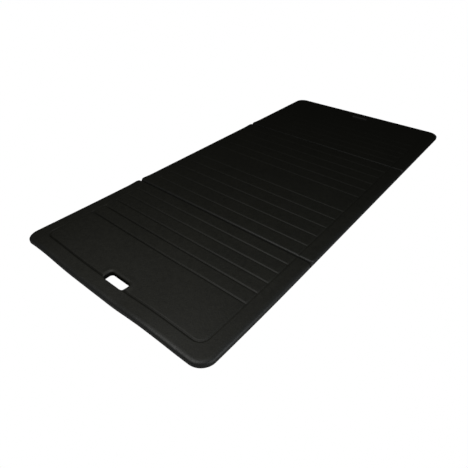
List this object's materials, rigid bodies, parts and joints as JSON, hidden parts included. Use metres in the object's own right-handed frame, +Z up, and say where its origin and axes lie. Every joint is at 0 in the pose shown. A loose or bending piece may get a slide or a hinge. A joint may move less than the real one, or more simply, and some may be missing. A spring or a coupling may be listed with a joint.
{
  "type": "folding exercise mat",
  "caption": "Folding exercise mat of moulded closed-cell foam: panels joined by thin fold webs, with pressed cross grooves, a border groove and a hand slot at each end.",
  "frame": {"origin": "centre of the mat's underside, with the mat lying open and flat", "axes": "+X across the width, +Y along the length from one end panel (near) to the other (far), +Z up out of the grooved face"},
  "size_m": [0.65, 1.4, 0.015],
  "materials": {
    "moulded_skin_top": "matte black closed foam skin with a very fine grain",
    "moulded_skin_underside": "matte black, slightly rougher non-slip skin",
    "closed_cell_foam": "dark grey closed-cell foam",
    "fold_web_skin": "matte black compressed skin"
  },
  "bodies": {
    "middle_panel": {"middle_top_skin": "moulded_skin_top", "middle_foam_core": "closed_cell_foam", "middle_bottom_skin": "moulded_skin_underside", "near_fold_web": "fold_web_skin", "far_fold_web": "fold_web_skin"},
    "near_panel": {"near_top_skin": "moulded_skin_top", "near_foam_core": "closed_cell_foam", "near_bottom_skin": "moulded_skin_underside"},
    "far_panel": {"far_top_skin": "moulded_skin_top", "far_foam_core": "closed_cell_foam", "far_bottom_skin": "moulded_skin_underside"}
  },
  "joints": [
    {"name": "near_fold", "type": "hinge", "parent": "middle_panel", "child": "near_panel", "pos_m": [0, -0.303, -0.0003], "axis": [-1, 0, 0], "range_deg": [-179.5, 30]},
    {"name": "far_fold", "type": "hinge", "parent": "middle_panel", "child": "far_panel", "pos_m": [0, 0.303, -0.0003], "axis": [1, 0, 0], "range_deg": [-172, 30]}
  ]
}
